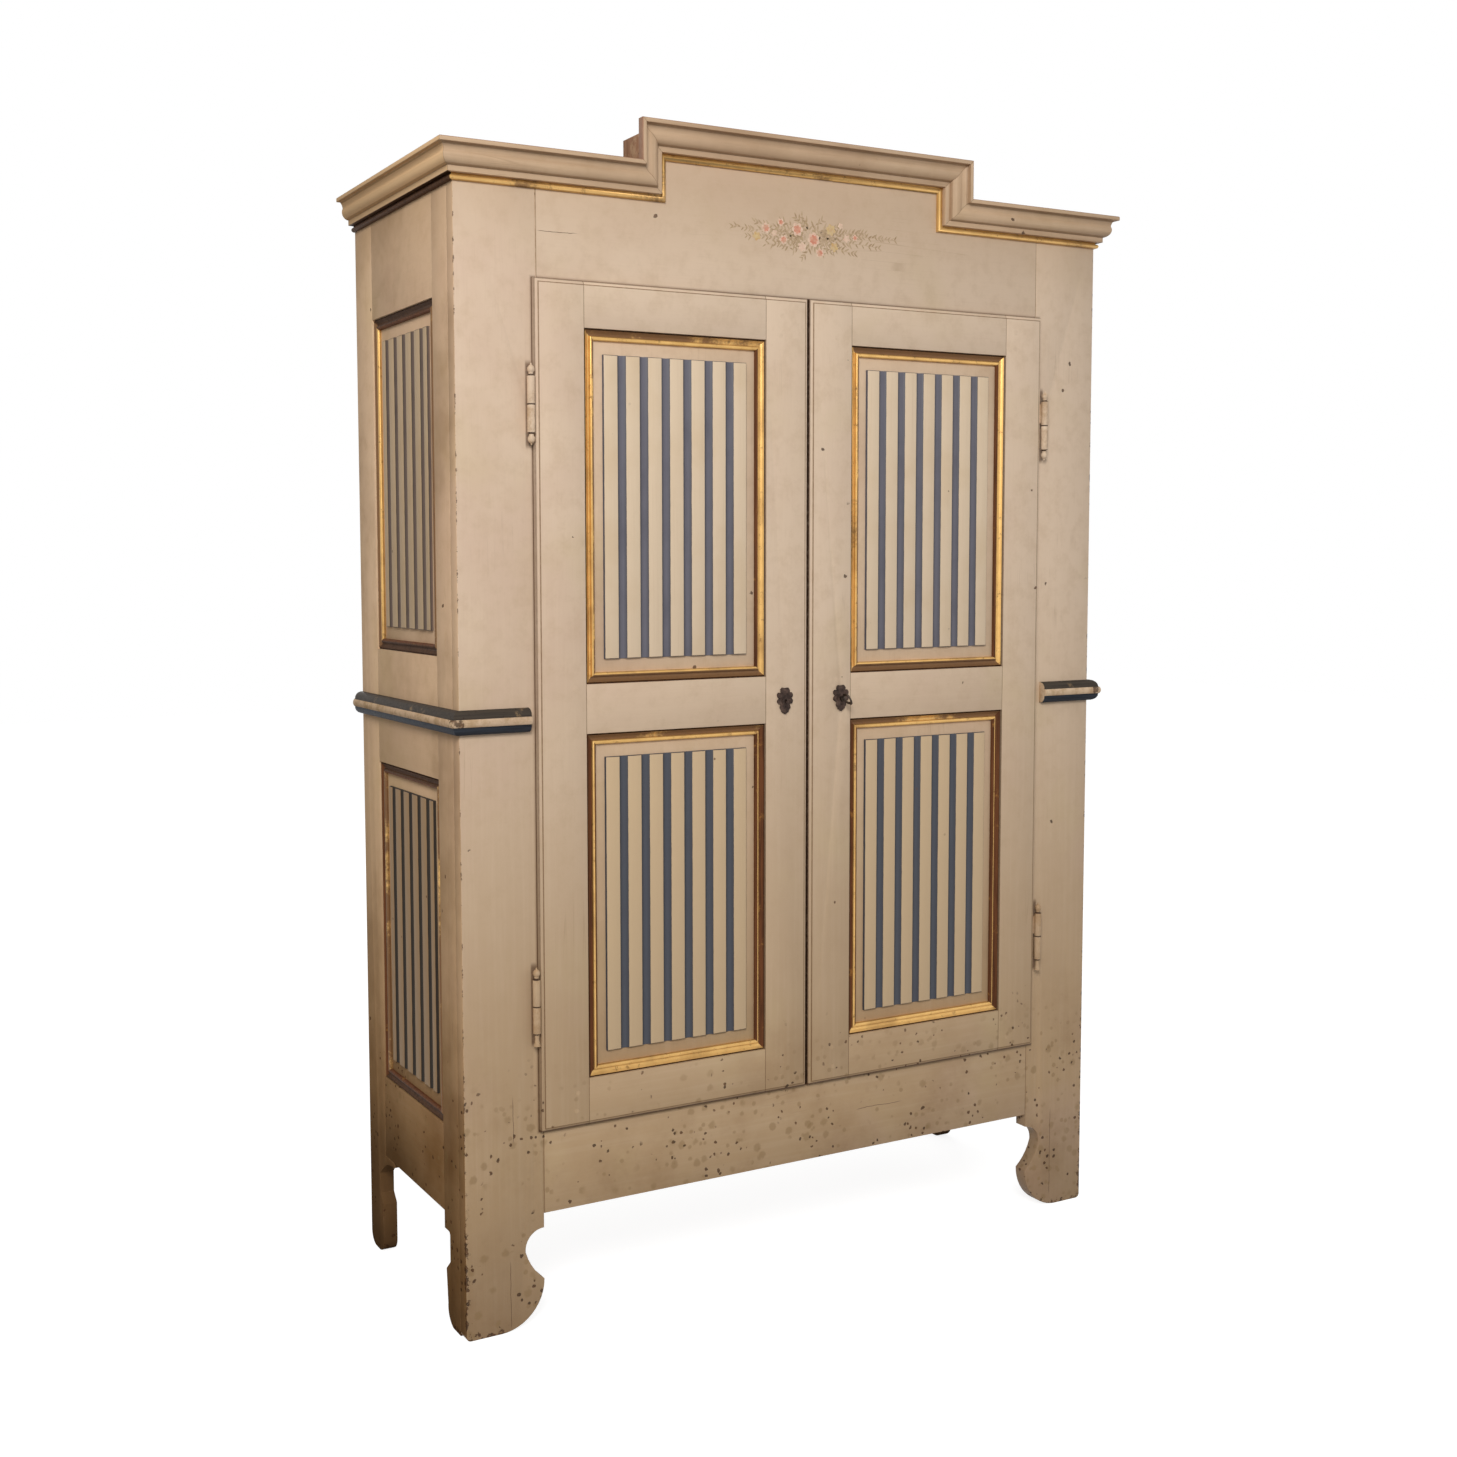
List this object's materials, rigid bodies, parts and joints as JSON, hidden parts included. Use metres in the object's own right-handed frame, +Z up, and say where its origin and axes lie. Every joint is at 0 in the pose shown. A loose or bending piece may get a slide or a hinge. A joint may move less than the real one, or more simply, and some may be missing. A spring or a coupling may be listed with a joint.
{
  "type": "wardrobe",
  "caption": "Tall painted wardrobe with hinged doors, fluted panels in gilt mouldings, a stepped cornice, a belt moulding and bracket feet; hanging rod, shelf, lock and door bolts inside.",
  "frame": {"origin": "on the floor, in the middle of the plan that the cornice covers", "axes": "+Z up, +X to the right of someone facing the doors, doors face -Y"},
  "size_m": [1.472, 0.5436, 2.116],
  "materials": {
    "cream_paint": "softwood under aged warm cream paint",
    "fluted_paint": "cream paint with slate-blue flutes",
    "gilt_moulding": "worn gilding over brown",
    "belt_paint": "slate and cream paint, worn",
    "bare_wood": "old unpainted softwood",
    "hinge_paint": "iron under worn cream paint",
    "dark_bronze": "dark oxidised metal",
    "iron": "dark forged iron"
  },
  "bodies": {
    "case": {"front_post_left": "cream_paint", "front_post_right": "cream_paint", "side_front_stile_left": "cream_paint", "side_front_stile_right": "cream_paint", "side_back_stile_left": "cream_paint", "side_back_stile_right": "cream_paint", "side_rails_left": "cream_paint", "side_rails_right": "cream_paint", "side_panels_left": "cream_paint", "side_panels_right": "cream_paint", "side_fluted_boards_left": "fluted_paint", "side_fluted_boards_right": "fluted_paint", "side_mouldings_left": "gilt_moulding", "side_mouldings_right": "gilt_moulding", "frieze_board": "cream_paint", "apron": "cream_paint", "back_rails": "bare_wood", "back_boards": "bare_wood", "top_boards": "bare_wood", "bottom_boards": "bare_wood", "board_bearers": "bare_wood", "shelf": "bare_wood", "shelf_bearers": "bare_wood", "hanging_rod": "bare_wood", "rod_cleats": "bare_wood", "cornice_side_left": "cream_paint", "cornice_side_right": "cream_paint", "cornice_front_left": "cream_paint", "cornice_front_right": "cream_paint", "cornice_riser_left": "cream_paint", "cornice_riser_right": "cream_paint", "cornice_raised": "cream_paint", "cornice_beads": "gilt_moulding", "crest_blocks": "bare_wood", "belt_left": "belt_paint", "belt_right": "belt_paint", "case_hinge_halves_left": "hinge_paint", "case_hinge_halves_right": "hinge_paint"},
    "door_left": {"door_left_stiles": "cream_paint", "door_left_rails": "cream_paint", "door_left_panels": "cream_paint", "door_left_fluted_boards": "fluted_paint", "door_left_mouldings": "gilt_moulding", "door_left_hinge_halves": "hinge_paint", "door_left_escutcheon": "dark_bronze", "bolt_staples": "iron", "lock_keeper": "iron"},
    "door_right": {"door_right_stiles": "cream_paint", "door_right_rails": "cream_paint", "door_right_panels": "cream_paint", "door_right_fluted_boards": "fluted_paint", "door_right_mouldings": "gilt_moulding", "door_right_hinge_halves": "hinge_paint", "door_right_escutcheon": "dark_bronze", "lock_case": "iron"},
    "top_bolt_body": {"top_bolt": "iron"},
    "bottom_bolt_body": {"bottom_bolt": "iron"},
    "lock_bolt_body": {"lock_bolt": "iron"},
    "key_body": {"key": "dark_bronze"}
  },
  "joints": [
    {"name": "door_left_hinge", "type": "hinge", "parent": "case", "child": "door_left", "pos_m": [-0.566, -0.2425, 1.1], "axis": [0, 0, 1], "range_deg": [-110, 0]},
    {"name": "door_right_hinge", "type": "hinge", "parent": "case", "child": "door_right", "pos_m": [0.566, -0.2425, 1.1], "axis": [0, 0, 1], "range_deg": [0, 110]},
    {"name": "top_bolt_slide", "type": "slide", "parent": "door_left", "child": "top_bolt_body", "axis": [0, 0, 1], "range_m": [0, 0.016]},
    {"name": "bottom_bolt_slide", "type": "slide", "parent": "door_left", "child": "bottom_bolt_body", "axis": [0, 0, -1], "range_m": [0, 0.016]},
    {"name": "key_turn", "type": "hinge", "parent": "door_right", "child": "key_body", "pos_m": [0.072, -0.23, 1.092], "axis": [0, -1, 0], "range_deg": [0, 240]},
    {"name": "lock_bolt_slide", "type": "slide", "parent": "door_right", "child": "lock_bolt_body", "axis": [-1, 0, 0], "range_m": [0, 0.012]}
  ],
  "couplings": [
    {"joint": "key_turn", "follows": "lock_bolt_slide", "rad_per_m": 349.06}
  ]
}
